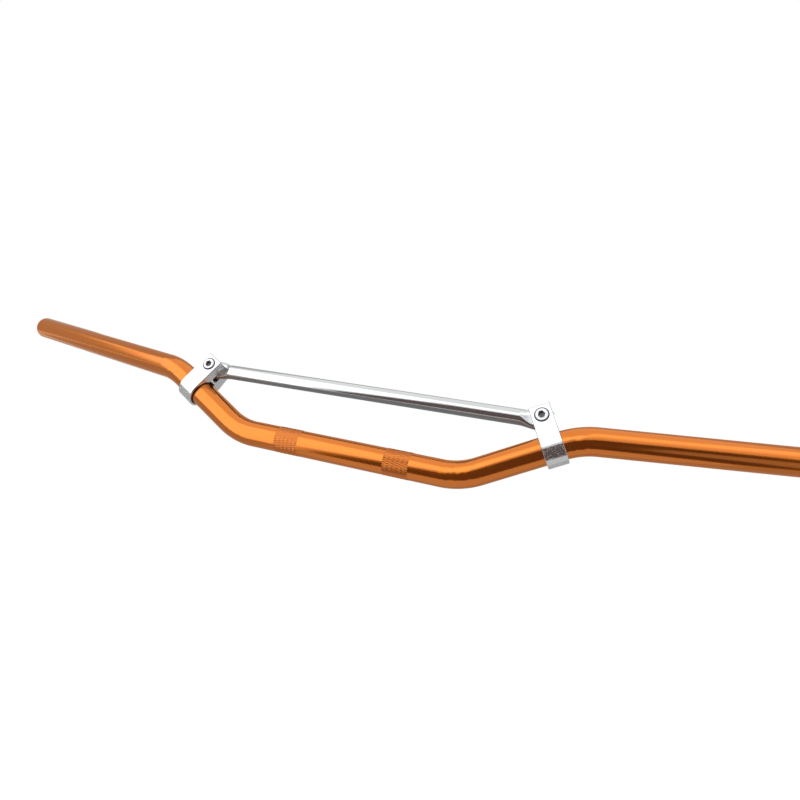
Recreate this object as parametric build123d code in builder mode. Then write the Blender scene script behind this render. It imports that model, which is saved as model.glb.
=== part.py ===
from build123d import *
import math
import os

# Motocross handlebar: a bent tube, a straight crossbar, two crossbar clamps and their screws.
# All sizes in millimetres. The origin is the middle of the tube's axis, between the knurled
# bands where the steering head clamps hold it. +X runs along the bar, +Y towards the rider
# and +Z up.

# Handlebar tube
tube_diameter = 22.0
tube_wall = 4.0
tube_end_chamfer = 0.8
centre_length = 198.0  # between the corners of the two lower bends
rise_length = 93.0  # between the corners of a lower and an upper bend
rise_angle = 28.5  # slope of the two rises
grip_length = 242.0  # from the corner of an upper bend to the open end
sweep_angle = 13.5  # grips turn back towards the rider
upsweep_angle = 7.0  # grips climb towards their ends
bend_radius = 60.0  # the same former makes all four bends

# Knurled bands on the middle stretch
knurl_start = 38.0  # from the middle of the bar to the nearer edge of a band
knurl_width = 21.3
knurl_rise = 0.1  # knurling lifts the surface this much

# Crossbar: a tube whose two ends are pressed shut and rounded off
crossbar_diameter = 12.7
crossbar_wall = 3.45
tab_flat_length = 13.0  # from the screw to where the pressed stretch starts
tab_squeeze_length = 5.5  # from there to the round tube
tab_spread_length = 6.0  # from the screw to where the tab has its full height
tab_start_height = 13.4
tab_end_offset = 1.9  # the round end is drawn from this far beyond the screw
bore_seam_width = 0.3  # left of the bore where it is pressed shut

# Crossbar clamps
clamp_width = 16.0
clamp_wall = 3.0
clamp_height = 30.5  # from the tube's axis to the square top of the legs
clamp_lean = 10.0  # clamps turned about the rises, tops towards the rider
clamp_bore_clearance = 0.05
clamp_edge_chamfer = 0.3
slot_clearance = 0.05  # each side of the crossbar's pressed end
slot_offset = 1.0  # slot lies this far in front of the tube's axis
rear_leg_taper_start = 10.7
rear_leg_top = 7.4  # thickness of the rear leg at its top
left_clamp_to_bend = 16.9  # from a clamp's middle up to the start of the upper bend
right_clamp_to_bend = 6.5

# Hexagon socket screws
screw_height = 22.8  # screw axis above the tube's axis, square to the rise
screw_diameter = 6.0
screw_length = 20.0  # below the head
screw_head_diameter = 10.0
screw_head_height = 6.0
screw_head_proud = 2.5  # head stands out of its counterbore
screw_head_chamfer = 0.5
screw_tip_chamfer = 0.6
hex_socket = 5.0  # across flats
hex_socket_depth = 3.0
counterbore_clearance = 0.5
through_hole_clearance = 0.3
tapped_hole_clearance = 0.03

# Sizes that follow from the ones above
tube_radius = tube_diameter / 2
clamp_radius = tube_radius + clamp_wall
crossbar_bore = crossbar_diameter - 2 * crossbar_wall
tab_thickness = 2 * crossbar_wall
tab_height = tab_thickness + math.pi * (crossbar_diameter - tab_thickness) / 2
bore_closing_angle = math.degrees(
    math.atan2((crossbar_bore - bore_seam_width) / 2, tab_squeeze_length)
)
slot_width = tab_thickness + 2 * slot_clearance
slot_rear = slot_offset - slot_width / 2
counterbore_depth = screw_head_height - screw_head_proud
counterbore_radius = screw_head_diameter / 2 + counterbore_clearance
through_hole_radius = screw_diameter / 2 + through_hole_clearance
tapped_hole_radius = screw_diameter / 2 + tapped_hole_clearance

os.makedirs("parts", exist_ok=True)


def rise_direction(side):
    """Unit vector up the rise, outwards, on the right (1) or left (-1) of the bar."""
    slope = math.radians(rise_angle)
    return Vector(side * math.cos(slope), 0, math.sin(slope))


def grip_direction(side):
    """Unit vector along a grip, outwards."""
    back = math.radians(sweep_angle)
    up = math.radians(upsweep_angle)
    return Vector(side * math.cos(up) * math.cos(back), math.sin(back), math.sin(up) * math.cos(back))


def lower_corner(side):
    """Where the middle stretch and a rise would meet without their bend."""
    return Vector(side * centre_length / 2, 0, 0)


def upper_corner(side):
    """Where a rise and a grip would meet without their bend."""
    return lower_corner(side) + rise_direction(side) * rise_length


def bar_end(side):
    """Middle of the tube's open end."""
    return upper_corner(side) + grip_direction(side) * grip_length


def clamp_axes(side):
    """The point on the tube's axis in the middle of a clamp, and the clamp's two directions:
    up its legs and out of its front face."""
    along = rise_direction(side)
    turn = math.radians(along.get_angle(grip_direction(side)))
    corner_to_bend = bend_radius * math.tan(turn / 2)
    to_bend = right_clamp_to_bend if side > 0 else left_clamp_to_bend
    centre = upper_corner(side) - along * (corner_to_bend + to_bend)
    upright = Vector(-side * along.Z, 0, side * along.X)
    lean = math.radians(clamp_lean)
    forward = Vector(0, -1, 0)
    legs = upright * math.cos(lean) - forward * math.sin(lean)
    front = forward * math.cos(lean) + upright * math.sin(lean)
    return centre, legs, front


def screw_plane(side, distance):
    """Plane square to the screw, facing the front, this far in front of the tube's axis."""
    centre, legs, front = clamp_axes(side)
    origin = centre + legs * screw_height + front * distance
    return Plane(origin=origin, x_dir=legs, z_dir=front)


def make_handlebar_tube():
    """One tube with two lower bends, two upper bends and two bands raised by knurling."""
    with BuildPart() as tube:
        with BuildLine() as axis:
            FilletPolyline(
                bar_end(-1),
                upper_corner(-1),
                lower_corner(-1),
                lower_corner(1),
                upper_corner(1),
                bar_end(1),
                radius=bend_radius,
            )
        with BuildSketch(Plane(origin=axis.line @ 0, z_dir=axis.line % 0)):
            Circle(tube_radius)
            Circle(tube_radius - tube_wall, mode=Mode.SUBTRACT)
        sweep()
        end_faces = tube.faces().filter_by(GeomType.PLANE)
        chamfer(end_faces.edges(), tube_end_chamfer)
        for band_start in (-knurl_start - knurl_width, knurl_start):
            with BuildSketch(Plane.YZ.offset(band_start)):
                Circle(tube_radius + knurl_rise)
                Circle(tube_radius - tube_wall, mode=Mode.SUBTRACT)
            extrude(amount=knurl_width)
    return tube


def pressed_section(plane, thickness, height):
    """Outline of a tube pressed between two flat dies: two sides and two round edges. Where the
    height is no more than the thickness, the sides bulge out to a full circle."""
    half = thickness / 2
    is_round = height <= thickness
    side_x = half * math.sqrt(0.5) if is_round else half
    side_y = side_x if is_round else (height - thickness) / 2
    edge_y = half if is_round else height / 2
    with BuildSketch(plane) as outline:
        with BuildLine():
            if is_round:
                ThreePointArc((side_x, -side_y), (half, 0), (side_x, side_y))
            else:
                Line((side_x, -side_y), (side_x, side_y))
            ThreePointArc((side_x, side_y), (0, edge_y), (-side_x, side_y))
            if is_round:
                ThreePointArc((-side_x, side_y), (-half, 0), (-side_x, -side_y))
            else:
                Line((-side_x, side_y), (-side_x, -side_y))
            ThreePointArc((-side_x, -side_y), (0, -edge_y), (side_x, -side_y))
        make_face()
    return outline.sketch


def crossbar_direction():
    """Unit vector along the crossbar, from its left end to its right."""
    span = screw_plane(1, slot_offset).origin - screw_plane(-1, slot_offset).origin
    return span.normalized()


def tab_plane(side):
    """Plane of a pressed end, with its origin on the screw's axis in the middle of the slot, its
    x direction outwards along the tab and its z direction to the front."""
    plane = screw_plane(side, slot_offset)
    outwards = crossbar_direction() * side
    in_slot = outwards - plane.z_dir * outwards.dot(plane.z_dir)
    return Plane(origin=plane.origin, x_dir=in_slot.normalized(), z_dir=plane.z_dir)


def tab_section_plane(side, distance):
    """Plane across a pressed end, this far outwards from its screw."""
    plane = tab_plane(side)
    return Plane(origin=plane.origin + plane.x_dir * distance, x_dir=plane.z_dir, z_dir=plane.x_dir)


def round_section_plane(side):
    """Plane across the crossbar where its round stretch ends and the pressing starts."""
    plane = tab_plane(side)
    outwards = crossbar_direction() * side
    origin = plane.origin - outwards * (tab_flat_length + tab_squeeze_length)
    across = plane.z_dir - outwards * plane.z_dir.dot(outwards)
    return Plane(origin=origin, x_dir=across, z_dir=outwards)


def make_crossbar():
    """A straight tube whose two ends are pressed shut, set over to lie in the slots, drilled
    for the screws and sheared round."""
    round_length = (round_section_plane(1).origin - round_section_plane(-1).origin).length
    with BuildPart() as bar:
        with BuildSketch(round_section_plane(1)):
            Circle(crossbar_diameter / 2)
            Circle(crossbar_bore / 2, mode=Mode.SUBTRACT)
        extrude(amount=-round_length)
        for side in (-1, 1):
            round_plane = round_section_plane(side)
            start_plane = tab_section_plane(side, -tab_flat_length)
            spread_plane = tab_section_plane(side, -tab_spread_length)
            round_end = pressed_section(round_plane, crossbar_diameter, crossbar_diameter)
            tab_start = pressed_section(start_plane, tab_thickness, tab_start_height)
            tab_spread = pressed_section(spread_plane, tab_thickness, tab_height)
            loft([round_end, tab_start, tab_spread], ruled=True)
            with BuildSketch(spread_plane):
                SlotOverall(tab_height, tab_thickness, rotation=90)
            extrude(amount=tab_spread_length + tab_end_offset + tab_height)
            with BuildSketch(round_plane):
                Circle(crossbar_bore / 2)
            extrude(amount=tab_squeeze_length, taper=bore_closing_angle, mode=Mode.SUBTRACT)
            with BuildSketch(tab_plane(side)):
                with Locations((tab_end_offset + tab_height, 0)):
                    Rectangle(2 * tab_height, 2 * tab_height)
                with Locations((tab_end_offset, 0)):
                    Circle(tab_height / 2, mode=Mode.SUBTRACT)
                Circle(through_hole_radius)
            extrude(amount=tab_thickness, both=True, mode=Mode.SUBTRACT)
    return bar


def make_clamp(side):
    """A ring round the tube with two legs. The slot between the legs takes the crossbar's end,
    and a screw pulls the front leg onto the tapped rear leg."""
    centre, legs, front = clamp_axes(side)
    with BuildPart() as clamp:
        with BuildSketch(Plane(origin=centre, x_dir=front, z_dir=front.cross(legs))):
            with BuildLine():
                Polyline(
                    (-clamp_radius, 0),
                    (-clamp_radius, rear_leg_taper_start),
                    (slot_rear - rear_leg_top, clamp_height),
                    (clamp_radius, clamp_height),
                    (clamp_radius, 0),
                )
                ThreePointArc((clamp_radius, 0), (0, -clamp_radius), (-clamp_radius, 0))
            make_face()
            Circle(tube_radius + clamp_bore_clearance, mode=Mode.SUBTRACT)
            with Locations((slot_offset, clamp_height)):
                Rectangle(slot_width, 2 * clamp_height, mode=Mode.SUBTRACT)
        extrude(amount=clamp_width / 2, both=True)
        outer_edges = clamp.edges().filter_by(
            lambda edge: (edge @ 0.5 - centre).dot(front) > clamp_radius - 0.01
        )
        chamfer(outer_edges, clamp_edge_chamfer)
        with BuildSketch(screw_plane(side, clamp_radius)):
            Circle(counterbore_radius)
        extrude(amount=-counterbore_depth, mode=Mode.SUBTRACT)
        with BuildSketch(screw_plane(side, clamp_radius)):
            Circle(through_hole_radius)
        extrude(amount=slot_offset - clamp_radius, mode=Mode.SUBTRACT)
        with BuildSketch(screw_plane(side, slot_offset)):
            Circle(tapped_hole_radius)
        extrude(amount=-2 * clamp_radius, mode=Mode.SUBTRACT)
    return clamp


def make_screw(side):
    """A socket screw whose head sits in the front leg and whose end is held by the rear leg."""
    seat = clamp_radius - counterbore_depth
    with BuildPart() as screw:
        with BuildSketch(screw_plane(side, seat)):
            Circle(screw_head_diameter / 2)
        extrude(amount=screw_head_height)
        chamfer(screw.faces().sort_by(Axis.Y)[0].edges(), screw_head_chamfer)
        with BuildSketch(screw_plane(side, seat)):
            Circle(screw_diameter / 2)
        extrude(amount=-screw_length)
        chamfer(screw.faces().sort_by(Axis.Y)[-1].edges(), screw_tip_chamfer)
        with BuildSketch(screw_plane(side, seat + screw_head_height)):
            RegularPolygon(hex_socket / 2, 6, major_radius=False)
        extrude(amount=-hex_socket_depth, mode=Mode.SUBTRACT)
    return screw


handlebar_tube = make_handlebar_tube()
handlebar_tube.part.label = "handlebar_tube"
export_step(handlebar_tube.part, "parts/handlebar_tube.step")

crossbar = make_crossbar()
crossbar.part.label = "crossbar"
export_step(crossbar.part, "parts/crossbar.step")

left_clamp = make_clamp(-1)
left_clamp.part.label = "left_clamp"
export_step(left_clamp.part, "parts/left_clamp.step")

right_clamp = make_clamp(1)
right_clamp.part.label = "right_clamp"
export_step(right_clamp.part, "parts/right_clamp.step")

left_screw = make_screw(-1)
left_screw.part.label = "left_screw"
export_step(left_screw.part, "parts/left_screw.step")

right_screw = make_screw(1)
right_screw.part.label = "right_screw"
export_step(right_screw.part, "parts/right_screw.step")
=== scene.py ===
"""Dresses the motocross handlebar for its portrait: the orange anodised tube with its knurled
bands, the polished crossbar and clamps, and the plated socket screws. Sizes are in metres."""

import logging
import math
from collections.abc import Callable
from dataclasses import dataclass
from enum import Enum

import bmesh
import bpy
from mathutils import Euler, Matrix, Vector


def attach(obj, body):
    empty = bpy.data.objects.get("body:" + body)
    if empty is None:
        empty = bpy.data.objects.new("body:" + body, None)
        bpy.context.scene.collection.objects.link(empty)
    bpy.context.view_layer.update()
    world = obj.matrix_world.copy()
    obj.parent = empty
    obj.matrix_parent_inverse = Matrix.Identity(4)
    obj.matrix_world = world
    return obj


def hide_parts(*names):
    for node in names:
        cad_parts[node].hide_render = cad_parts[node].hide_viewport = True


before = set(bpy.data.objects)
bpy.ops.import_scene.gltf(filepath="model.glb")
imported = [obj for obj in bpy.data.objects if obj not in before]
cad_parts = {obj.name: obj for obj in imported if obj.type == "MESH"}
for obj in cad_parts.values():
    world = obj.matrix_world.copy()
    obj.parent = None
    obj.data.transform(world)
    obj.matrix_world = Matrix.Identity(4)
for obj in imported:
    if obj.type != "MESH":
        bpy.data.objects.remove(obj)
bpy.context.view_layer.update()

log = logging.getLogger("handlebar")

Colour = tuple[float, float, float]
Mesh = bmesh.types.BMesh
Edges = list[bmesh.types.BMEdge]
Node = bpy.types.Node
Socket = bpy.types.NodeSocket
Piece = bpy.types.Object
Filling = Socket | float | tuple | Vector
Outline = Callable[[float], tuple[float, float]]

MERGING_DISTANCE = 0.000002
MASK_FADE = 0.0001
# Painted shade: the near-black colour laid into recesses and into gaps between parts, where shade falls.
PAINTED_SHADE: Colour = (0.012, 0.012, 0.013)


class Side(Enum):
    """The two ends of the bar, left and right as in the picture."""

    LEFT = -1
    RIGHT = 1

    @property
    def word(self) -> str:
        """The side as it stands in names."""
        return self.name.lower()


def grey(level: float) -> Colour:
    """A neutral colour of this level."""
    return (level, level, level)


def eased(ratio: float) -> float:
    """A share between 0 and 1 that leaves both ends gently."""
    held = min(1.0, max(0.0, ratio))
    return held * held * (3 - 2 * held)


def put(socket: Socket, filling: Filling) -> None:
    """Links an input to another node's output, or sets its value.

    Args:
        socket: The input.
        filling: The output or the value.
    """
    if isinstance(filling, Socket):
        socket.id_data.links.new(filling, socket)
    else:
        socket.default_value = filling


def fill(node: Node, fillings: dict[str | int, Filling]) -> None:
    """Links or sets several of a node's inputs."""
    for label, filling in fillings.items():
        put(node.inputs[label], filling)


@dataclass(frozen=True)
class Shading:
    """The nodes of a material, a shared group or the world, and the ways to add to them."""

    tree: bpy.types.NodeTree

    def add(self, kind: str, fillings: dict[str | int, Filling] | None = None) -> Node:
        """Adds a node.

        Args:
            kind: Its type, without the word that all of them start with.
            fillings: What goes into its inputs.

        Returns:
            The node.
        """
        node = self.tree.nodes.new("ShaderNode" + kind)
        fill(node, fillings or {})
        return node

    def worked(self, kind: str, operation: str, parts: tuple[Filling, ...]) -> Node:
        """Adds one calculation.

        Args:
            kind: Math or VectorMath.
            operation: What it does.
            parts: Its inputs, in order.

        Returns:
            The node.
        """
        node = self.add(kind)
        node.operation = operation
        fill(node, dict(enumerate(parts)))
        return node

    def value(self, operation: str, *parts: Filling) -> Socket:
        """The result of a calculation with numbers."""
        return self.worked("Math", operation, parts).outputs["Value"]

    def vector(self, operation: str, *parts: Filling) -> Socket:
        """The result of a calculation with vectors."""
        return self.worked("VectorMath", operation, parts).outputs["Vector"]

    def measure(self, operation: str, *parts: Filling) -> Socket:
        """The number that a calculation finds in vectors."""
        return self.worked("VectorMath", operation, parts).outputs["Value"]

    def ranged(self, given: Socket, low: float, high: float, start: float = 0.0,
               stop: float = 1.0) -> Socket:
        """A value whose range from start to stop is stretched onto low to high, and held beyond."""
        ends = {"From Min": start, "From Max": stop, "To Min": low, "To Max": high}
        return self.add("MapRange", {"Value": given, **ends}).outputs["Result"]

    def mixed(self, mask: Socket, low: Socket | Colour, high: Colour) -> Socket:
        """Blends two colours by a mask.

        Args:
            mask: A value from 0 to 1.
            low: The colour where the mask is 0.
            high: The colour where the mask is 1.

        Returns:
            The blended colour.
        """
        mix = self.add("Mix")
        mix.data_type = "RGBA"
        below = low if isinstance(low, Socket) else (*low, 1)
        fill(mix, {"Factor": mask, "A": below, "B": (*high, 1)})
        return mix.outputs["Result"]

    def group(self, name: str, fillings: dict[str | int, Filling]) -> Socket:
        """Places one of the shared groups.

        Args:
            name: The group's name.
            fillings: What goes into its inputs.

        Returns:
            Its Mask.
        """
        node = self.add("Group")
        node.node_tree = bpy.data.node_groups[name]
        fill(node, fillings)
        return node.outputs["Mask"]

    def lines(self, vector: Socket, across: float, along: float, detail: float = 3.0) -> Socket:
        """The shared fine lines, with so many to a metre across and along the vector's z."""
        counts = {"Across": across, "Along": along, "Detail": detail}
        return self.group("fine_lines", {"Vector": vector, **counts})

    def relief(self, *layers: tuple[Socket, float]) -> Socket:
        """Raises the surface by height maps, one over another.

        Args:
            layers: Each map, and the height in metres that its 1 stands for.

        Returns:
            The raised surface's normal.
        """
        normal = None
        for height, depth in layers:
            bump = self.add("Bump", {"Strength": 1.0, "Distance": depth, "Height": height})
            if normal is not None:
                put(bump.inputs["Normal"], normal)
            normal = bump.outputs["Normal"]
        return normal

    def facing(self, way: Vector) -> Socket:
        """How squarely the surface faces one way, from -1 to 1."""
        return self.measure("DOT_PRODUCT", self.add("NewGeometry").outputs["Normal"], way)

    def attribute(self, name: str, output: str) -> Socket:
        """Reads one of the mesh's own attributes.

        Args:
            name: The attribute's name.
            output: Which of its forms is read.

        Returns:
            The attribute.
        """
        node = self.add("Attribute")
        node.attribute_name = name
        return node.outputs[output]

    def seen_plainly(self, plain: Socket, seen: Socket) -> Socket:
        """Shows one shader to camera, glossy and transmission rays and another one to the rest.

        Args:
            plain: The shader that the rest meet.
            seen: The shader that those rays meet.

        Returns:
            The two as one shader.
        """
        rays = self.add("LightPath").outputs
        either = self.value("MAXIMUM", rays["Is Camera Ray"], rays["Is Glossy Ray"])
        mask = self.value("MAXIMUM", either, rays["Is Transmission Ray"])
        return self.add("MixShader", {"Fac": mask, 1: plain, 2: seen}).outputs["Shader"]


def fresh_material(name: str) -> tuple[bpy.types.Material, Shading, Node]:
    """Starts a material.

    Args:
        name: The material's name.

    Returns:
        The material, its shading and its Principled shader.
    """
    material = bpy.data.materials.new(name)
    material.use_nodes = True
    return material, Shading(material.node_tree), material.node_tree.nodes["Principled BSDF"]


def shared_group(name: str, inputs: dict[str, float | tuple]) -> tuple[Shading, dict[str, Socket], Socket]:
    """Starts a node group with a Vector input, more inputs and a Mask output.

    Args:
        name: The group's name.
        inputs: Each further input's name and default, a number or three of them.

    Returns:
        The group's shading, what it is given and its Mask.
    """
    group = bpy.data.node_groups.new(name, "ShaderNodeTree")
    group.interface.new_socket("Vector", in_out="INPUT", socket_type="NodeSocketVector")
    for label, value in inputs.items():
        kind = "NodeSocketVector" if isinstance(value, tuple) else "NodeSocketFloat"
        group.interface.new_socket(label, in_out="INPUT", socket_type=kind).default_value = value
    group.interface.new_socket("Mask", in_out="OUTPUT", socket_type="NodeSocketFloat")
    given = {socket.name: socket for socket in group.nodes.new("NodeGroupInput").outputs}
    return Shading(group), given, group.nodes.new("NodeGroupOutput").inputs["Mask"]


def draw_lines_group() -> None:
    """Draws fine lines along the vector's z direction, as drawing and polishing leave them."""
    shading, given, mask = shared_group("fine_lines", {"Across": 3000.0, "Along": 15.0, "Detail": 3.0})
    scale = shading.add("CombineXYZ", {"X": given["Across"], "Y": given["Across"], "Z": given["Along"]})
    stretched = shading.vector("MULTIPLY", given["Vector"], scale.outputs["Vector"])
    noise = {"Vector": stretched, "Scale": 1.0, "Detail": given["Detail"], "Roughness": 0.6}
    put(mask, shading.add("TexNoise", noise).outputs["Fac"])


def speck_group() -> None:
    """Scatters small separate specks, as of dust and pinholes, whose Mask is 1."""
    shading, given, mask = shared_group("specks", {"Scale": 900.0, "Size": 0.12})
    cells = shading.add("TexVoronoi", {"Vector": given["Vector"], "Scale": given["Scale"]})
    put(mask, shading.value("LESS_THAN", cells.outputs["Distance"], given["Size"]))


def near_axis_group() -> None:
    """Marks the inside of a round hole or of a pin by a Mask that is 1 between two radii and
    between two levels along the axis, and fades to 0 outside them."""
    shading, given, mask = shared_group("near_axis", {
        "Centre": (0.0, 0.0, 0.0), "Axis": (0.0, 0.0, 1.0), "Inner": 0.0, "Outer": 0.005,
        "Bottom": -1.0, "Level": 0.0})
    arm = shading.vector("SUBTRACT", given["Vector"], given["Centre"])
    height = shading.measure("DOT_PRODUCT", arm, given["Axis"])
    spoke = shading.vector("SUBTRACT", arm, shading.vector("MULTIPLY", given["Axis"], height))
    radius = shading.measure("LENGTH", spoke)
    rising = ((radius, given["Outer"]), (given["Inner"], radius),
              (height, given["Level"]), (given["Bottom"], height))
    steps = [shading.ranged(shading.value("SUBTRACT", high, low), 0.0, 1.0, stop=MASK_FADE)
             for low, high in rising]
    around = shading.value("MULTIPLY", steps[0], steps[1])
    between = shading.value("MULTIPLY", steps[2], steps[3])
    put(mask, shading.value("MULTIPLY", around, between))


@dataclass(frozen=True)
class AnodisedFinish:
    """Dyed and sealed aluminium tube: glossy, with faint drawing lines, and rippled where a bend
    has stretched it. It reads the tube's own unrolled coordinates."""

    name: str = "anodised_tube"
    colour: Colour = (0.80, 0.215, 0.014)
    deep_colour: Colour = (0.71, 0.178, 0.009)
    edge_tint: Colour = (1.0, 0.68, 0.36)
    roughness: float = 0.13
    worn_roughness: float = 0.21
    knurl_roughness: float = 0.28
    knurl_shade: float = 0.86
    coat: float = 0.8
    coat_roughness: float = 0.06
    line_depth: float = 0.0000015
    draw_depth: float = 0.000042
    ripple_depth: float = 0.00030

    def build(self) -> bpy.types.Material:
        """Makes the material.

        Returns:
            The material.
        """
        material, shading, shader = fresh_material(self.name)
        unrolled = shading.attribute("unrolled", "Vector")
        bent = shading.attribute("bent", "Fac")
        knurled = shading.attribute("knurled", "Fac")
        lines = shading.lines(unrolled, 1500.0, 9.0)
        draws = shading.lines(unrolled, 620.0, 4.0, 1.0)
        clouds = shading.lines(unrolled, 110.0, 30.0)
        ripples = shading.lines(unrolled, 210.0, 230.0, 0.3)
        tone = shading.value("MULTIPLY_ADD", draws, clouds, shading.ranged(draws, 0.0, 0.5))
        skin = shading.mixed(tone, self.deep_colour, self.colour)
        cut = tuple(part * self.knurl_shade for part in self.deep_colour)
        swell = shading.value("MULTIPLY", ripples, bent)
        fill(shader, {
            "Base Color": shading.mixed(knurled, skin, cut),
            "Roughness": shading.value("MAXIMUM", shading.ranged(lines, self.roughness, self.worn_roughness),
                                       shading.ranged(knurled, 0.0, self.knurl_roughness)),
            "Normal": shading.relief((lines, self.line_depth), (draws, self.draw_depth),
                                     (swell, self.ripple_depth)),
            "Metallic": 1.0,
            "Specular Tint": (*self.edge_tint, 1),
            "Coat Weight": self.coat,
            "Coat Roughness": self.coat_roughness,
        })
        return material


@dataclass(frozen=True)
class Pocket:
    """A round gap that is painted dark as shade: between two radii round an axis, and between
    two levels along it."""

    centre: Vector
    axis: Vector
    inner: float
    outer: float
    bottom: float
    level: float

    def mask(self, shading: Shading, place: Socket) -> Socket:
        """A mask of the gap, found in the object's coordinates."""
        sizes = {name.capitalize(): size for name, size in vars(self).items()}
        return shading.group("near_axis", {"Vector": place, **sizes})


@dataclass(frozen=True)
class PolishedFinish:
    """Bright metal with polishing lines along one direction and a few specks. Painted shade darkens
    its pockets, broken edges and underside, which are rougher too, as are faces cut across the lines."""

    name: str
    colour: Colour
    dull_colour: Colour
    roughness: float
    rough_end: float
    along: Vector
    pockets: tuple[Pocket, ...] = ()
    line_depth: float = 0.0000010
    speck_size: float = 0.05
    speck_scale: float = 700.0
    speck_depth: float = -0.00002
    mottle_depth: float = 0.000004
    # Painted shade in the pockets: how much of it shows, and its roughness.
    grime: float = 0.93
    grime_roughness: float = 0.45
    cut_roughness: float = 0.0
    cut_span: tuple[float, float] = (0.9, 0.97)
    broken_edges: tuple[Vector, ...] = ()
    # Painted shade: the grey of the dark line painted on the broken edges.
    edge_level: float = 0.10
    edge_alignment: float = 0.99
    # Painted shade: the colour laid on faces that look down, faded in over this span of facing.
    underside: Colour | None = None
    underside_span: tuple[float, float] = (0.55, 0.68)
    dulled_roughness: float = 0.5

    def _patches(self, shading: Shading, place: Socket) -> list[tuple[Socket, Colour, float, float]]:
        """Lists the patches of painted shade: the pockets, the broken edges and the underside.

        Args:
            shading: The material's shading.
            place: The object's coordinates.

        Returns:
            Each patch's mask, its colour, how much of that shows and its roughness.
        """
        # Painted shade in the pockets.
        patches = [(pocket.mask(shading, place), PAINTED_SHADE, self.grime, self.grime_roughness)
                   for pocket in self.pockets]
        # Painted shade: a dark line on the faces of the broken edges.
        for way in self.broken_edges:
            edge = shading.value("GREATER_THAN", shading.facing(way), self.edge_alignment)
            patches.append((edge, grey(self.edge_level), 1.0, self.dulled_roughness))
        # Painted shade on the faces that look down.
        if self.underside is not None:
            low = shading.ranged(shading.facing(Vector((0, 0, -1))), 0.0, 1.0, *self.underside_span)
            patches.append((low, self.underside, 1.0, self.dulled_roughness))
        return patches

    def build(self) -> bpy.types.Material:
        """Makes the material.

        Returns:
            The material.
        """
        material, shading, shader = fresh_material(self.name)
        place = shading.add("TexCoord").outputs["Object"]
        turn = self.along.rotation_difference(Vector((0, 0, 1))).to_euler()
        turned = shading.add("Mapping", {"Vector": place, "Rotation": turn}).outputs["Vector"]
        lines = shading.lines(turned, 2600.0, 60.0)
        clouds = shading.lines(turned, 160.0, 60.0)
        mottle = shading.lines(turned, 1100.0, 900.0, 1.5)
        sizes = {"Scale": self.speck_scale, "Size": self.speck_size}
        specks = shading.group("specks", {"Vector": turned, **sizes})
        across = shading.value("ABSOLUTE", shading.facing(self.along))
        colour = shading.mixed(clouds, self.dull_colour, self.colour)
        rough = shading.ranged(lines, self.roughness, self.rough_end)
        for duller in (shading.ranged(specks, 0.0, self.dulled_roughness),
                       shading.ranged(across, 0.0, self.cut_roughness, *self.cut_span)):
            rough = shading.value("MAXIMUM", rough, duller)
        for mask, tint, share, roughness in self._patches(shading, place):
            colour = shading.mixed(shading.ranged(mask, 0.0, share), colour, tint)
            rough = shading.value("MAXIMUM", rough, shading.ranged(mask, 0.0, roughness))
        normal = shading.relief((lines, self.line_depth), (mottle, self.mottle_depth),
                                (specks, self.speck_depth))
        fill(shader, {"Base Color": colour, "Roughness": rough, "Normal": normal, "Metallic": 1.0})
        return material


def placed(origin: Vector, heading: Vector) -> Matrix:
    """The place at a point with its z direction along a heading."""
    return Matrix.Translation(origin) @ heading.to_track_quat("Z", "X").to_matrix().to_4x4()


def ring(mesh: Mesh, segments: int, radius: float, place: Matrix) -> tuple[list, Edges]:
    """Draws a closed loop, and gives its vertices and its edges."""
    verts = bmesh.ops.create_circle(mesh, segments=segments, radius=radius, matrix=place)["verts"]
    return verts, list({edge for vert in verts for edge in vert.link_edges})


def new_loop(made: list) -> tuple[list, Edges]:
    """Finds the loop that an extrusion has just made.

    Args:
        made: The operator's new vertices, edges and faces.

    Returns:
        The loop's vertices and its edges.
    """
    verts = [item for item in made if isinstance(item, bmesh.types.BMVert)]
    kept = set(verts)
    edges = [item for item in made if isinstance(item, bmesh.types.BMEdge) and kept.issuperset(item.verts)]
    return verts, edges


def grown_loop(mesh: Mesh, edges: Edges, centre: Vector, scale: float, shift: Vector) -> Edges:
    """Grows a band of faces from a loop of edges.

    Args:
        mesh: The mesh that it belongs to.
        edges: The loop.
        centre: The point that the new loop is scaled about.
        scale: The new loop's size against the old one.
        shift: How far the new loop moves.

    Returns:
        The new loop of edges.
    """
    verts, loop = new_loop(bmesh.ops.extrude_edge_only(mesh, edges=edges)["geom"])
    bmesh.ops.scale(mesh, vec=Vector((1, 1, 1)) * scale, space=Matrix.Translation(-centre), verts=verts)
    bmesh.ops.translate(mesh, vec=shift, verts=verts)
    return loop


def close_seam(mesh: Mesh, edges: Edges) -> None:
    """Joins loops of edges that lie on each other."""
    verts = {vert for edge in edges for vert in edge.verts}
    bmesh.ops.remove_doubles(mesh, verts=list(verts), dist=MERGING_DISTANCE)


def finished_object(name: str, mesh: Mesh, sharp: float = 35.0) -> Piece:
    """Turns a working mesh into an object, smooth but for its sharp edges.

    Args:
        name: The object's name.
        mesh: The working mesh, which is freed.
        sharp: The angle in degrees past which an edge is sharp.

    Returns:
        The object, linked to the scene.
    """
    data = bpy.data.meshes.new(name)
    mesh.to_mesh(data)
    mesh.free()
    data.shade_smooth()
    data.set_sharp_from_angle(angle=math.radians(sharp))
    made = bpy.data.objects.new(name, data)
    bpy.context.scene.collection.objects.link(made)
    return made


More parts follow.
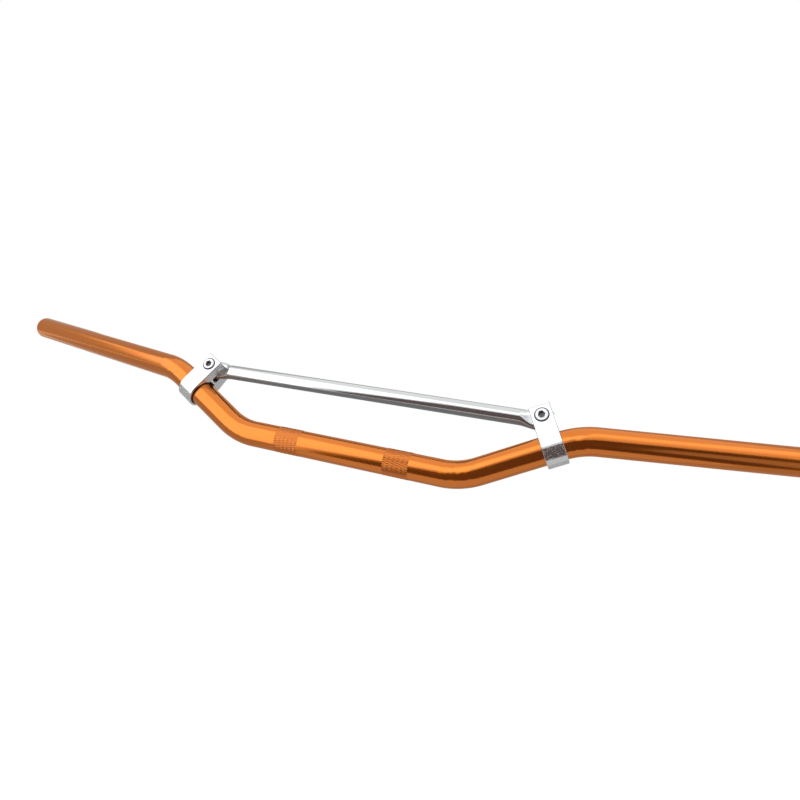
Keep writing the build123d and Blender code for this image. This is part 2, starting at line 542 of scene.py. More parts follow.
class LoopSweep:
    """Carries a closed loop of edges along straight runs and round bends, and leaves a skin."""

    def __init__(self, mesh: Mesh, centre: Vector, heading: Vector, radius: float, segments: int) -> None:
        """Draws the first loop.

        Args:
            mesh: The mesh that the skin belongs to.
            centre: The loop's middle.
            heading: The way that it will be carried.
            radius: The loop's radius.
            segments: How many edges it has.
        """
        self.mesh = mesh
        self.centre = centre.copy()
        self.heading = heading.normalized()
        self.radius = radius
        self.run = 0.0
        self.bent = 0.0
        layers = mesh.verts.layers
        self.unrolled = layers.float_vector.get("unrolled") or layers.float_vector.new("unrolled")
        self.bend_mark = layers.float.get("bent") or layers.float.new("bent")
        self.knurl_mark = layers.float.get("knurled") or layers.float.new("knurled")
        place = placed(self.centre, self.heading)
        self.verts, self.edges = ring(mesh, segments, radius, place)
        for vert in self.verts:
            flat = place.inverted() @ vert.co
            vert[self.unrolled] = Vector((flat.x, flat.y, self.run))

    def _adopt(self, made: list) -> None:
        """Takes the loop that an operator has just made as the one to carry on with.

        Args:
            made: The operator's new vertices, edges and faces.
        """
        old = set(self.verts)
        self.verts, self.edges = new_loop(made)
        for vert in self.verts:
            mate = next(edge.other_vert(vert) for edge in vert.link_edges if edge.other_vert(vert) in old)
            around = mate[self.unrolled]
            vert[self.unrolled] = Vector((around.x, around.y, self.run))
            vert[self.bend_mark] = self.bent

    def advance(self, distance: float, steps: int = 1) -> None:
        """Carries the loop straight on.

        Args:
            distance: How far.
            steps: How many bands of faces the run has.
        """
        shift = self.heading * (distance / steps)
        for _ in range(steps):
            self.centre += shift
            self.run += distance / steps
            self._adopt(bmesh.ops.extrude_edge_only(self.mesh, edges=self.edges)["geom"])
            bmesh.ops.translate(self.mesh, vec=shift, verts=self.verts)

    def resize(self, radius: float) -> None:
        """Steps the loop square across to another radius.

        Args:
            radius: The new radius.
        """
        self.advance(0.0)
        bmesh.ops.scale(self.mesh, vec=Vector((1, 1, 1)) * (radius / self.radius),
                        space=Matrix.Translation(-self.centre), verts=self.verts)
        self.radius = radius

    def bend(self, heading: Vector, bend_radius: float, steps: int) -> None:
        """Carries the loop round a bend.

        Args:
            heading: The heading after the bend.
            bend_radius: The radius of the loop's middle.
            steps: How many bands of faces the bend has.
        """
        axis = self.heading.cross(heading).normalized()
        turn = self.heading.angle(heading)
        middle = self.centre + axis.cross(self.heading) * bend_radius
        swing = Matrix.Rotation(turn / steps, 3, axis)
        for step in range(steps):
            self.bent = math.sin(math.pi * (step + 1) / steps)
            self.centre = middle + swing @ (self.centre - middle)
            self.run += bend_radius * turn / steps
            self._adopt(bmesh.ops.spin(
                self.mesh, geom=self.verts + self.edges, cent=middle, axis=axis, angle=turn / steps,
                steps=1, use_merge=False, use_normal_flip=False, use_duplicate=False,
            )["geom_last"])
        self.heading = heading.normalized()
        self.bent = 0.0

    def mould(self, place: Matrix, outline: Outline) -> None:
        """Gives the loop another outline.

        Args:
            place: The outline's plane, with the heading as its z direction.
            outline: The outline's x and y for each angle round the first loop.
        """
        for vert in self.verts:
            around = vert[self.unrolled]
            vert.co = place @ Vector((*outline(math.atan2(around.y, around.x)), 0))

    def carry(self, place: Matrix, outline: Outline) -> None:
        """Carries the loop to another plane and outline.

        Args:
            place: The outline's plane, with the heading as its z direction.
            outline: The outline's x and y for each angle round the first loop.
        """
        self.run += (place.to_translation() - self.centre).length
        self.centre = place.to_translation()
        self.advance(0.0)
        self.mould(place, outline)


@dataclass
class Handlebar:
    """The bent tube, with its knurled bands, open ends and bore."""

    name: str = "anodised_handlebar"
    radius: float = 0.011
    bore_radius: float = 0.007
    end_chamfer: float = 0.0008
    centre_length: float = 0.198
    rise_length: float = 0.093
    rise_angle: float = math.radians(28.5)
    grip_length: float = 0.242
    sweep_angle: float = math.radians(13.5)
    upsweep_angle: float = math.radians(7.0)
    bend_radius: float = 0.060
    segments: int = 112
    bend_steps: int = 22
    knurl_start: float = 0.038
    knurl_width: float = 0.0213
    knurl_rise: float = 0.0001
    knurl_depth: float = 0.00026
    knurl_bed: float = 0.0005
    knurl_diamonds: int = 42
    knurl_angle: float = math.radians(12.0)
    knurl_columns: int = 8

    def rise_direction(self, side: Side) -> Vector:
        """The way up a rise, outwards."""
        return Vector((side.value * math.cos(self.rise_angle), 0, math.sin(self.rise_angle)))

    def grip_direction(self, side: Side) -> Vector:
        """The way along a grip, outwards.

        Args:
            side: Which grip it is.

        Returns:
            The direction, one metre long.
        """
        flat = math.cos(self.sweep_angle)
        across = side.value * math.cos(self.upsweep_angle) * flat
        return Vector((across, math.sin(self.sweep_angle), math.sin(self.upsweep_angle) * flat))

    def on_rise(self, side: Side, station: float) -> Vector:
        """A point of a rise's axis, this far out from the corner of the lower bend."""
        return Vector((side.value * self.centre_length / 2, 0, 0)) + self.rise_direction(side) * station

    def bar_end(self, side: Side) -> Vector:
        """The middle of an open end."""
        return self.on_rise(side, self.rise_length) + self.grip_direction(side) * self.grip_length

    def band_starts(self) -> tuple[float, float]:
        """The left edges of the two knurled bands along the bar."""
        return (-self.knurl_start - self.knurl_width, self.knurl_start)

    def _skin(self, mesh: Mesh, radius: float, with_bands: bool) -> tuple[Edges, Edges]:
        """Sweeps one skin of the tube from the left end to the right, short of the ends' chamfers.

        Args:
            mesh: The tube's mesh.
            radius: The skin's radius.
            with_bands: Whether the skin steps down under the knurled bands.

        Returns:
            The first and the last loop of edges.
        """
        left_grip = -self.grip_direction(Side.LEFT)
        left_rise = -self.rise_direction(Side.LEFT)
        upper = self.bend_radius * math.tan(left_grip.angle(left_rise) / 2)
        lower = self.bend_radius * math.tan(self.rise_angle / 2)
        grip = self.grip_length - upper - self.end_chamfer
        rise = self.rise_length - upper - lower
        start = self.bar_end(Side.LEFT) + left_grip * self.end_chamfer
        sweep = LoopSweep(mesh, start, left_grip, radius, self.segments)
        first = sweep.edges
        for run, heading in ((grip, left_rise), (rise, Vector((1, 0, 0)))):
            sweep.advance(run)
            sweep.bend(heading, self.bend_radius, self.bend_steps)
        for left_edge in self.band_starts() if with_bands else ():
            sweep.advance(left_edge - sweep.centre.x)
            sweep.resize(radius - self.knurl_depth)
            sweep.advance(self.knurl_width)
            sweep.resize(radius)
        level = self.centre_length / 2 - lower - sweep.centre.x
        for run, way in ((level, self.rise_direction), (rise, self.grip_direction)):
            sweep.advance(run)
            sweep.bend(way(Side.RIGHT), self.bend_radius, self.bend_steps)
        sweep.advance(grip)
        return first, sweep.edges

    def _band(self, mesh: Mesh, start: float) -> None:
        """Makes one knurled band as a ring of crossed grooves.

        Args:
            mesh: The tube's mesh.
            start: Where its left edge is along the bar.
        """
        pitch = 2 * math.pi * self.radius / self.knurl_diamonds
        crest = self.radius + self.knurl_rise
        row = pitch / math.tan(self.knurl_angle) / self.knurl_columns
        sweep = LoopSweep(mesh, Vector((start, 0, 0)), Vector((1, 0, 0)), crest - self.knurl_bed,
                          self.knurl_diamonds * self.knurl_columns)
        first = sweep.edges
        sweep.resize(crest)
        before = set(mesh.faces)
        sweep.advance(self.knurl_width, round(self.knurl_width / row))
        skin = [face for face in mesh.faces if face not in before]
        ring_verts = {vert for face in skin for vert in face.verts}
        ring_verts |= set(bmesh.ops.poke(mesh, faces=skin)["verts"])
        sweep.resize(crest - self.knurl_bed)
        inside = grown_loop(mesh, sweep.edges, sweep.centre, 1, Vector((-self.knurl_width, 0, 0)))
        close_seam(mesh, first + inside)
        for vert in ring_verts:
            turn = math.atan2(vert.co.z, vert.co.y) / (2 * math.pi) * self.knurl_diamonds
            along = (vert.co.x - start) / (row * self.knurl_columns)
            gaps = [abs(value - round(value)) for value in (turn + along, turn - along)]
            spoke = Vector((0, vert.co.y, vert.co.z)).normalized()
            vert.co -= spoke * (1 - 2 * min(gaps)) * self.knurl_depth
            vert[sweep.knurl_mark] = 1.0

    def _rim(self, mesh: Mesh, outer: Edges, inner: Edges, side: Side) -> None:
        """Closes the wall at an open end, with a chamfer on both of its edges.

        Args:
            mesh: The tube's mesh.
            outer: The outer skin's last loop.
            inner: The bore's last loop.
            side: Which end it is.
        """
        step = self.grip_direction(side) * self.end_chamfer
        end = self.bar_end(side)
        outer_radius = self.radius - self.end_chamfer
        inner_radius = self.bore_radius + self.end_chamfer
        outer_edge = grown_loop(mesh, outer, end - step, outer_radius / self.radius, step)
        inner_edge = grown_loop(mesh, inner, end - step, inner_radius / self.bore_radius, step)
        closing = grown_loop(mesh, outer_edge, end, inner_radius / outer_radius, Vector())
        close_seam(mesh, closing + inner_edge)

    def build(self) -> Piece:
        """Makes the tube's mesh, smooth on its skins and sharp at its rims.

        Returns:
            The tube's object.
        """
        mesh = bmesh.new()
        skin = self._skin(mesh, self.radius, True)
        bore = self._skin(mesh, self.bore_radius, False)
        for outer, inner, side in zip(skin, bore, Side):
            self._rim(mesh, outer, inner, side)
        for start in self.band_starts():
            self._band(mesh, start)
        bmesh.ops.recalc_face_normals(mesh, faces=mesh.faces)
        return finished_object(self.name, mesh)

    def dress(self, piece: Piece) -> None:
        """Gives the tube its anodised finish.

        Args:
            piece: The tube's object.
        """
        piece.data.materials.append(AnodisedFinish().build())
        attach(piece, "root")
        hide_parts("handlebar_tube")


BAR = Handlebar()


@dataclass(frozen=True)
class ClampPlace:
    """Where a clamp sits on its rise, and which way it faces."""

    side: Side
    station: float
    lean: float = math.radians(10)
    screw_height: float = 0.0228
    face: float = 0.0140
    seat: float = 0.0105

    @property
    def along(self) -> Vector:
        """The tube's direction at the clamp."""
        return BAR.rise_direction(self.side)

    @property
    def centre(self) -> Vector:
        """The middle of the clamp on the tube's axis."""
        return BAR.on_rise(self.side, self.station)

    @property
    def upright(self) -> Vector:
        """The way that the clamp would stand if it didn't lean."""
        return self.along.cross(Vector((0, self.side.value, 0)))

    @property
    def legs(self) -> Vector:
        """The way up its legs."""
        return self.upright * math.cos(self.lean) + Vector((0, 1, 0)) * math.sin(self.lean)

    @property
    def front(self) -> Vector:
        """The way that its front face looks."""
        return self.upright * math.sin(self.lean) - Vector((0, 1, 0)) * math.cos(self.lean)

    @property
    def broken_edges(self) -> tuple[Vector, ...]:
        """The ways that the slanted faces round its front face look."""
        return tuple((self.front + way).normalized() for way in (self.along, -self.along, self.legs))

    @property
    def screw_seat(self) -> Vector:
        """The middle of the counterbore's floor."""
        return self.centre + self.legs * self.screw_height + self.front * self.seat


CLAMPS = (ClampPlace(Side.LEFT, 0.06268), ClampPlace(Side.RIGHT, 0.07308))


@dataclass
class SocketScrew:
    """A socket screw: a head with a fine knurled side, a hexagon socket and a plain shank."""

    place: ClampPlace
    head_radius: float = 0.005
    head_height: float = 0.0046
    head_chamfer: float = 0.0005
    mouth_radius: float = 0.00302
    mouth_depth: float = 0.00018
    socket_across: float = 0.005
    socket_depth: float = 0.003
    socket_point: float = 0.0006
    point_share: float = 0.02
    shank_radius: float = 0.003
    shank_length: float = 0.020
    tip_chamfer: float = 0.0006
    ridges: int = 60
    ridge_depth: float = 0.00010
    # Painted shade in the socket and round the head: the margins left unshaded, and the dark ring's overlap
    # and width.
    clean_mouth: float = 0.0001
    clean_depth: float = 0.0022
    grime_overlap: float = 0.0003
    grime_width: float = 0.001
    clean_rim: float = 0.0004
    sharp: float = 28.0

    def _grown(self, mesh: Mesh, edges: Edges, scale: float, lift: float = 0.0) -> Edges:
        """Grows a level loop into another one, scaled about the screw's axis and lifted along it."""
        middle = Vector((0, 0, edges[0].verts[0].co.z))
        return grown_loop(mesh, edges, middle, scale, Vector((0, 0, lift)))

    def build(self) -> Piece:
        """Makes the screw where it sits.

        Returns:
            The screw's object.
        """
        mesh = bmesh.new()
        verts, lower = ring(mesh, 2 * self.ridges, self.head_radius, Matrix())
        for vert in verts[1::2]:
            vert.co *= 1 - self.ridge_depth / self.head_radius
        upper = self._grown(mesh, lower, 1, self.head_height - self.head_chamfer)
        rim = self._grown(mesh, upper, 1 - self.head_chamfer / self.head_radius, self.head_chamfer)
        mouth = self._grown(mesh, rim, self.mouth_radius / (self.head_radius - self.head_chamfer))
        corner = self.socket_across / 2 / math.cos(math.pi / 6)
        top = Matrix.Translation((0, 0, self.head_height - self.mouth_depth))
        hexagon = ring(mesh, 6, corner, top)[1]
        cut = bmesh.ops.subdivide_edges(mesh, edges=hexagon, cuts=self.ridges // 3 - 1)["geom"]
        socket = [item for item in cut if isinstance(item, bmesh.types.BMEdge) and not item.link_faces]
        bmesh.ops.bridge_loops(mesh, edges=mouth + socket)
        floor = self._grown(mesh, socket, 1, self.mouth_depth - self.socket_depth)
        point = self._grown(mesh, floor, self.point_share, -self.socket_point)
        neck = self._grown(mesh, lower, self.shank_radius / self.head_radius)
        shank = self._grown(mesh, neck, 1, self.tip_chamfer - self.shank_length)
        tip = self._grown(mesh, shank, 1 - self.tip_chamfer / self.shank_radius, -self.tip_chamfer)
        for opening in (point, tip):
            bmesh.ops.edgeloop_fill(mesh, edges=opening)
        bmesh.ops.recalc_face_normals(mesh, faces=mesh.faces)
        legs, front = self.place.legs, self.place.front
        turn = Matrix((legs, front.cross(legs), front)).transposed().to_4x4()
        bmesh.ops.transform(mesh, matrix=Matrix.Translation(self.place.screw_seat) @ turn, verts=mesh.verts)
        return finished_object(self.place.side.word + "_socket_screw", mesh, self.sharp)

    def dress(self, piece: Piece) -> None:
        """Gives the screw its plated finish, with painted shade in its socket and under its rim.

        Args:
            piece: The screw's object.
        """
        name = self.place.side.word
        seat, front = self.place.screw_seat, self.place.front
        face = self.place.face - self.place.seat
        # Painted shade: the bottom of the socket, and the head's side down in the counterbore.
        pockets = (
            Pocket(seat, front, 0.0, self.mouth_radius - self.clean_mouth, 0.0,
                   self.head_height - self.clean_depth),
            Pocket(seat, front, self.head_radius - self.grime_overlap, self.head_radius + self.grime_width,
                   0.0, face - self.clean_rim),
        )
        finish = PolishedFinish("plated_" + name + "_screw", (0.72, 0.72, 0.73), (0.60, 0.60, 0.62),
                                0.16, 0.30, front, pockets, grime=0.80)
        piece.data.materials.append(finish.build())
        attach(piece, "root")
        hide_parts(name + "_screw")


@dataclass
class Crossbar:
    """A straight tube whose two ends are pressed flat, drilled for the screws and sheared round."""

    name: str = "pressed_crossbar"
    radius: float = 0.00635
    half_thickness: float = 0.00345
    half_height: float = 0.0080055
    slant_start: float = 0.0038
    spread_start: float = 0.005
    flat_length: float = 0.0099
    round_start: float = 0.0185
    end_offset: float = 0.0019
    slot_offset: float = 0.001
    hole_radius: float = 0.0033
    hole_segments: int = 64
    segments: int = 96
    tip_steps: int = 14
    tab_steps: int = 5
    squeeze_steps: int = 14
    sharp: float = 40.0

    def screw_point(self, place: ClampPlace) -> Vector:
        """Where a screw's axis crosses the middle of the pressed end."""
        return place.centre + place.legs * place.screw_height + place.front * self.slot_offset

    def heading(self) -> Vector:
        """The way along the crossbar, from left to right."""
        return (self.screw_point(CLAMPS[1]) - self.screw_point(CLAMPS[0])).normalized()

    def slot_heading(self, place: ClampPlace) -> Vector:
        """The way along one pressed end, from left to right in the clamp's slot."""
        return (self.heading() - place.front * self.heading().dot(place.front)).normalized()

    def _plane(self, origin: Vector, heading: Vector, front: Vector, slant: float = 0.0) -> Matrix:
        """A plane across the bar.

        Args:
            origin: Its middle.
            heading: The way along the bar.
            front: The way that the pressed sides face.
            slant: How far the plane runs along the bar for each metre that it goes down.

        Returns:
            The plane, with its x direction to the front and z along the bar.
        """
        across = (front - heading * front.dot(heading)).normalized()
        down = heading.cross(across) + heading * slant
        return Matrix.Translation(origin) @ Matrix((across, down, heading)).transposed().to_4x4()

    def _pressed(self, angle: float, half_thickness: float, half_height: float) -> Vector:
        """A point of the outline of a pressed tube, two flats and two round edges.

        Args:
            angle: The angle round the tube before it was pressed.
            half_thickness: Half the distance between the flats.
            half_height: Half the outline's height.

        Returns:
            The point's x and y.
        """
        flat = half_height - half_thickness
        quarter = flat + half_thickness * math.pi / 2
        run = math.atan2(abs(math.sin(angle)), abs(math.cos(angle))) / (math.pi / 2) * quarter
        turn = max(0.0, run - flat) / half_thickness
        x, y = half_thickness * math.cos(turn), min(run, flat) + half_thickness * math.sin(turn)
        return Vector((math.copysign(x, math.cos(angle)), math.copysign(y, math.sin(angle))))

    def _height_at(self, inwards: float) -> float:
        """Half the bar's height this far in from the screw, eased from the tab to the round tube."""
        ratio = (self.round_start - inwards) / (self.round_start - self.spread_start)
        return self.radius + (self.half_height - self.radius) * eased(ratio)

    def _section(self, place: ClampPlace, inwards: float) -> tuple[Matrix, Outline]:
        """The plane and the outline of one end between its sheared tip and the round tube.

        The tab is pressed as far as the clamp's side face, so the pressing slants as that does.

        Args:
            place: The clamp that holds the end.
            inwards: How far in from the screw the section lies.

        Returns:
            The plane and the outline.
        """
        side = place.side.value
        origin, in_slot = self.screw_point(place), self.slot_heading(place)
        ratio = min(1.0, max(0.0, (inwards - self.flat_length) / (self.round_start - self.flat_length)))
        half = self.half_thickness + (self.radius - self.half_thickness) * eased(ratio)
        onset = (inwards - self.slant_start) / (self.flat_length - self.slant_start)
        slant = math.tan(BAR.rise_angle) * min(onset, 1 - ratio)
        start = origin - in_slot * side * min(inwards, self.flat_length)
        middle = start.lerp(origin - self.heading() * side * self.round_start, ratio)

        def outline(angle: float) -> tuple[float, float]:
            """The pressed outline, its height eased along the slant."""
            x, y = self._pressed(angle, half, max(half, self._height_at(inwards)))
            return x, y * self._height_at(inwards - slant * y) / self._height_at(inwards)

        along = in_slot.lerp(self.heading(), ratio).normalized()
        return self._plane(middle, along, place.front, side * slant), outline

    def _sheared(self, place: ClampPlace, turn: float) -> tuple[Matrix, Outline]:
        """The plane and the outline of the round tip.

        Args:
            place: The clamp that holds the end.
            turn: The angle round the tip, from its point towards its side.

        Returns:
            The plane and the outline.
        """
        reach, limit = self.half_height * math.cos(turn), self.half_height * math.sin(turn)

        def outline(angle: float) -> tuple[float, float]:
            """The pressed outline, cut off above and below."""
            x, y = self._pressed(angle, self.half_thickness, self.half_height)
            return x, max(-limit, min(limit, y))

        in_slot = self.slot_heading(place)
        middle = self.screw_point(place) + in_slot * place.side.value * (self.end_offset + reach)
        return self._plane(middle, in_slot, place.front), outline

    def _end_sections(self, place: ClampPlace) -> list[tuple[Matrix, Outline]]:
        """The planes and outlines of one end, from its tip to where the round tube starts.

        Args:
            place: The clamp that holds the end.

        Returns:
            The sections in order.
        """
        sections = [self._sheared(place, math.pi / 2 * step / self.tip_steps)
                    for step in range(self.tip_steps + 1)]
        tab = (self.flat_length - self.slant_start) / self.tab_steps
        squeeze = (self.round_start - self.flat_length) / self.squeeze_steps
        stations = [self.slant_start + tab * step for step in range(self.tab_steps)]
        stations += [self.flat_length + squeeze * step for step in range(self.squeeze_steps + 1)]
        return sections + [self._section(place, inwards) for inwards in stations]

    def _drilled(self, bar: Piece, place: ClampPlace) -> None:
        """Drills one end for its screw.

        Args:
            bar: The crossbar.
            place: The clamp that holds the end.
        """
        mesh = bmesh.new()
        bmesh.ops.create_cone(mesh, cap_ends=True, segments=self.hole_segments, radius1=self.hole_radius,
                              radius2=self.hole_radius, depth=6 * self.half_thickness,
                              matrix=placed(self.screw_point(place), place.front))
        cutter = finished_object("drill", mesh)
        cut = bar.modifiers.new("drilled", "BOOLEAN")
        cut.operation = "DIFFERENCE"
        cut.solver = "EXACT"
        cut.object = cutter
        evaluated = bar.evaluated_get(bpy.context.evaluated_depsgraph_get())
        drilled = bpy.data.meshes.new_from_object(evaluated)
        bar.modifiers.clear()
        bar.data = drilled
        bpy.data.objects.remove(cutter)

    def build(self) -> Piece:
        """Makes the crossbar.

        Returns:
            The crossbar's object.
        """
        mesh = bmesh.new()
        first, *others = self._end_sections(CLAMPS[0])
        sweep = LoopSweep(mesh, first[0].to_translation(), self.heading(), self.radius, self.segments)
        sweep.mould(*first)
        for section in others + self._end_sections(CLAMPS[1])[::-1]:
            sweep.carry(*section)
        bmesh.ops.remove_doubles(mesh, verts=mesh.verts, dist=MERGING_DISTANCE)
        bmesh.ops.recalc_face_normals(mesh, faces=mesh.faces)
        bar = finished_object(self.name, mesh, self.sharp)
        for place in CLAMPS:
            self._drilled(bar, place)
        bar.data.shade_smooth()
        bar.data.set_sharp_from_angle(angle=math.radians(self.sharp))
        return bar

    def dress(self, piece: Piece) -> None:
        """Gives the crossbar its polished finish.

        Args:
            piece: The crossbar's object.
        """
        # The crossbar's underside gets painted shade.
        finish = PolishedFinish("polished_crossbar", (0.74, 0.75, 0.755), (0.66, 0.675, 0.68), 0.07, 0.13,
                                self.heading(), underside=(0.25, 0.31, 0.34))
        piece.data.materials.append(finish.build())
        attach(piece, "root")
        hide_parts("crossbar")


@dataclass
class Clamps:
    """The crossbar's clamps, which keep their solids and are only finished."""

    counterbore: float = 0.0055
    bore: float = 0.01105
    # Painted shade round the counterbore and round the tube: its reach, its lap and its width at the bore.
    grime_reach: float = 0.0003
    grime_lap: float = 0.001
    bore_grime: float = 0.0013
    whole_length: float = 0.1

    def _finish(self, place: ClampPlace) -> PolishedFinish:
        """The finish of one clamp, with painted shade in its counterbore and round the tube.

        Args:
            place: Where the clamp sits.

        Returns:
            The finish.
        """
        # Painted shade: the counterbore round the screw head, and the ring where the clamp meets the tube.
        pockets = (
            Pocket(place.screw_seat, place.front, 0.0, self.counterbore + self.grime_reach, -self.grime_lap,
                   place.face - place.seat + self.grime_lap),
            Pocket(place.centre, place.along, 0.0, self.bore + self.bore_grime, -self.whole_length,
                   self.whole_length),
        )
        return PolishedFinish("polished_" + place.side.word + "_clamp", grey(0.82), (0.68, 0.68, 0.685),
                              0.09, 0.15, place.along, pockets, speck_size=0.24, speck_scale=1000.0,
                              mottle_depth=0.000045, cut_roughness=0.42, broken_edges=place.broken_edges)

    def dress(self) -> None:
        """Gives each clamp its polished finish."""
        for place in CLAMPS:
            node = place.side.word + "_clamp"
            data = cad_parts[node].data
            data.materials.clear()
            data.materials.append(self._finish(place).build())
            log.info("dressed %s", node)


@dataclass(frozen=True)
class ReflectedCard:
    """A curved card that hangs round the object, and shows in its metal alone.

    Each corner is a heading in degrees from straight in front towards the right end, an
    elevation in degrees, and the place along the bar, in metres, that it is aimed from. The
    corners run lower left, lower right, upper right, upper left.
    """

    name: str
    colour: Colour
    corners: tuple[tuple[float, float, float], ...]
    distance: float
    cells: int = 16

    def _point(self, heading: float, elevation: float, station: float) -> Vector:
        """A point of the card, given as its corners are."""
        turn = Euler((-math.radians(elevation), 0, math.radians(heading))).to_matrix()
        return Vector((station, 0, 0)) + turn @ Vector((0, -self.distance, 0))

    def build(self) -> None:
        """Makes the card and stages it for glossy rays alone."""
        mesh = bmesh.new()
        bmesh.ops.create_grid(mesh, x_segments=self.cells, y_segments=self.cells, size=0.5)
        lower_left, lower_right, upper_right, upper_left = (Vector(corner) for corner in self.corners)
        for vert in mesh.verts:
            across, up = vert.co.x + 0.5, vert.co.y + 0.5
            low = lower_left.lerp(lower_right, across)
            high = upper_left.lerp(upper_right, across)
            vert.co = self._point(*low.lerp(high, up))
        card = finished_object(self.name, mesh)
        material, shading, shader = fresh_material(self.name)
        shading.tree.nodes.remove(shader)
        glow = shading.add("Emission", {"Color": (*self.colour, 1)})
        put(shading.tree.nodes["Material Output"].inputs["Surface"], glow.outputs["Emission"])
        card.data.materials.append(material)
        card.visible_camera = False
        card.visible_diffuse = False
        card.visible_shadow = False
        card.visible_transmission = False
        card.visible_volume_scatter = False


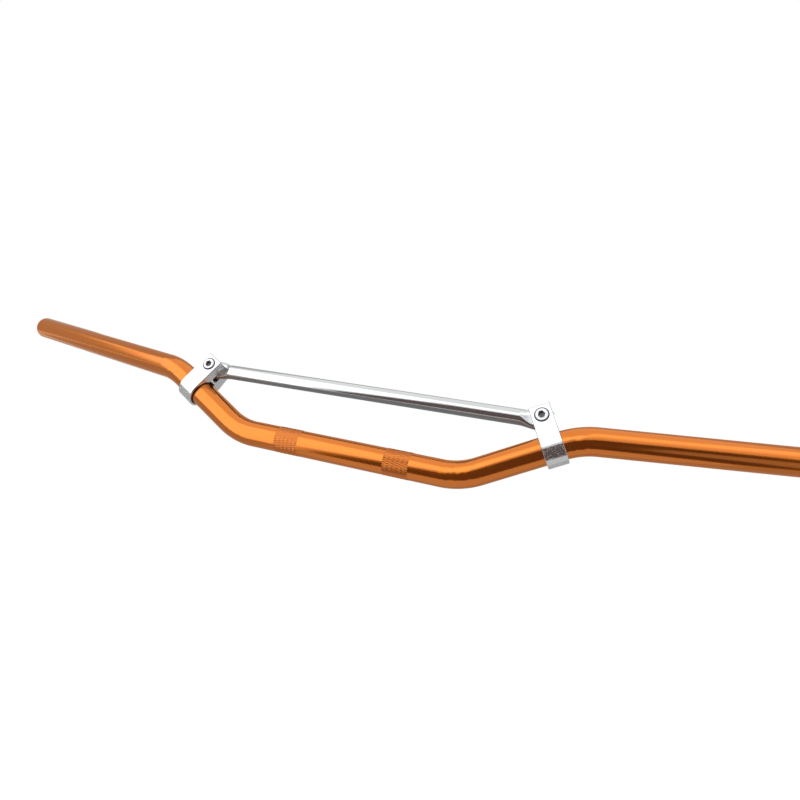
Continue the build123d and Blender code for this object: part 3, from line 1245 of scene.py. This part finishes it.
@dataclass
class Studio:
    """A white room with a pale floor and soft light, and the cards that polished metal reflects."""

    floor_height: float = -1.5
    floor_half: float = 60.0
    floor_roughness: float = 0.9
    seen_floor: float = 0.62
    room_level: float = 0.55
    lamp_power: float = 14.0
    lamp_size: tuple[float, float] = (1.6, 1.0)
    lamp_place: tuple[float, float, float] = (-0.5, -1.1, 1.5)
    cards: tuple[ReflectedCard, ...] = (
        ReflectedCard("front_light", (1.66, 1.70, 1.74),
                      ((-50, -60, -0.1), (12, -60, 0.2), (12, 42, 0.2), (-76, 38, -0.2)), 1.36),
        ReflectedCard("upper_halo", grey(1.28),
                      ((-78, 34, -0.2), (12, 38, 0.2), (12, 47, 0.2), (-80, 43, -0.2)), 1.37),
        ReflectedCard("dark_halo", grey(0.80),
                      ((-49, -55, -0.05), (0, -57, 0.1), (0, 7, 0.15), (-15, 6, 0.1)), 1.14),
        ReflectedCard("right_light", grey(1.10),
                      ((12, -60, 0.2), (78, -60, 0.3), (78, 62, 0.3), (12, 62, 0.2)), 1.36),
        ReflectedCard("high_light", grey(1.6),
                      ((12, 37, 0.2), (70, 42, 0.3), (70, 60, 0.3), (12, 56, 0.2)), 1.33),
        ReflectedCard("left_line", grey(1.25),
                      ((-78, 24, -0.3), (-73, 24, -0.3), (-74, 34, -0.3), (-80, 33, -0.3)), 1.18),
        ReflectedCard("back_light", grey(1.35),
                      ((128, 2, 0.3), (232, 2, -0.3), (232, 27, -0.3), (128, 27, 0.3)), 1.16),
        ReflectedCard("dark_fringe", grey(0.78),
                      ((-17, -1, 0.1), (42, 14, 0.32), (42, 27, 0.32), (-14, 15, 0.1)), 1.13),
        ReflectedCard("low_dark", (0.114, 0.080, 0.074),
                      ((-44, -55, -0.05), (88, -59, 0.32), (42, 15, 0.32), (-10, 4, 0.1)), 1.10),
        ReflectedCard("dark_card_gap", grey(0.40),
                      ((34, -31, 0.3), (78, -42, 0.3), (78, -3, 0.3), (31, -9, 0.3)), 0.98),
        ReflectedCard("dim_room", grey(0.52),
                      ((80, -12, 0.3), (295, -12, -0.35), (281, 64, -0.35), (80, 64, 0.3)), 1.24),
        ReflectedCard("dim_low", grey(0.46),
                      ((80, -58, 0.3), (315, -58, -0.05), (300, -12, -0.2), (80, -12, 0.3)), 1.22),
        ReflectedCard("table", grey(0.64),
                      ((-180, -90, 0), (180, -90, 0), (180, -48, 0), (-180, -48, 0)), 1.30),
    )

    def floor(self) -> None:
        """Lays the pale floor, white to the camera but for the object's soft shadow."""
        mesh = bmesh.new()
        bmesh.ops.create_grid(mesh, x_segments=1, y_segments=1, size=self.floor_half,
                              matrix=Matrix.Translation((0, 0, self.floor_height)))
        made = finished_object("studio_floor", mesh)
        material, shading, shader = fresh_material("studio_floor")
        fill(shader, {"Base Color": (*grey(0.8), 1), "Roughness": self.floor_roughness})
        none, glow = (shading.add("Emission", {"Strength": level}) for level in (0.0, self.seen_floor))
        lit = shading.seen_plainly(none.outputs["Emission"], glow.outputs["Emission"])
        both = shading.add("AddShader", {0: shader.outputs["BSDF"], 1: lit})
        put(shading.tree.nodes["Material Output"].inputs["Surface"], both.outputs["Shader"])
        made.data.materials.append(material)

    def world(self) -> None:
        """Sets the white surroundings and their plain level of light."""
        world = bpy.data.worlds.new("studio")
        world.use_nodes = True
        bpy.context.scene.world = world
        shading = Shading(world.node_tree)
        plain = world.node_tree.nodes["Background"]
        fill(plain, {"Color": (1, 1, 1, 1), "Strength": self.room_level})
        white = shading.add("Background", {"Color": (1, 1, 1, 1), "Strength": 1.0})
        seen = shading.seen_plainly(plain.outputs["Background"], white.outputs["Background"])
        put(world.node_tree.nodes["World Output"].inputs["Surface"], seen)

    def lamp(self) -> None:
        """Hangs one large soft lamp above the front."""
        data = bpy.data.lights.new("soft_lamp", "AREA")
        data.shape = "RECTANGLE"
        data.size, data.size_y = self.lamp_size
        data.energy = self.lamp_power
        lamp = bpy.data.objects.new("soft_lamp", data)
        lamp.location = self.lamp_place
        lamp.rotation_euler = (-lamp.location).to_track_quat("-Z", "Y").to_euler()
        lamp.visible_glossy = False
        bpy.context.scene.collection.objects.link(lamp)

    def build(self) -> None:
        """Sets up the studio."""
        self.world()
        self.floor()
        self.lamp()
        for card in self.cards:
            card.build()


@dataclass
class PortraitCamera:
    """The camera that the picture was taken from."""

    place: tuple[float, float, float] = (0.2056, -0.4804, -0.0350)
    heading: float = math.radians(19.32)
    pitch: float = math.radians(9.583)
    roll: float = math.radians(13.235)
    lens: float = 28.66
    sensor_width: float = 36.0
    clip_start: float = 0.01
    clip_end: float = 200.0

    def build(self) -> None:
        """Places the camera and makes it the scene's own."""
        data = bpy.data.cameras.new("portrait_camera")
        data.lens = self.lens
        data.sensor_width = self.sensor_width
        data.clip_start = self.clip_start
        data.clip_end = self.clip_end
        camera = bpy.data.objects.new("portrait_camera", data)
        bpy.context.scene.collection.objects.link(camera)
        turn = Matrix.Rotation(self.heading, 4, "Z") @ Matrix.Rotation(math.pi / 2 + self.pitch, 4, "X")
        camera.matrix_world = Matrix.Translation(self.place) @ turn @ Matrix.Rotation(self.roll, 4, "Z")
        bpy.context.scene.camera = camera


def main() -> None:
    """Builds the pieces, dresses them and sets up the studio."""
    logging.basicConfig(level=logging.INFO, format="%(message)s")
    bpy.context.scene.view_settings.view_transform = "Standard"
    draw_lines_group()
    speck_group()
    near_axis_group()
    for part in (BAR, Crossbar(), *(SocketScrew(place) for place in CLAMPS)):
        piece = part.build()
        part.dress(piece)
        log.info("built %s", piece.name)
    Clamps().dress()
    Studio().build()
    PortraitCamera().build()


if __name__ == "__main__":
    main()
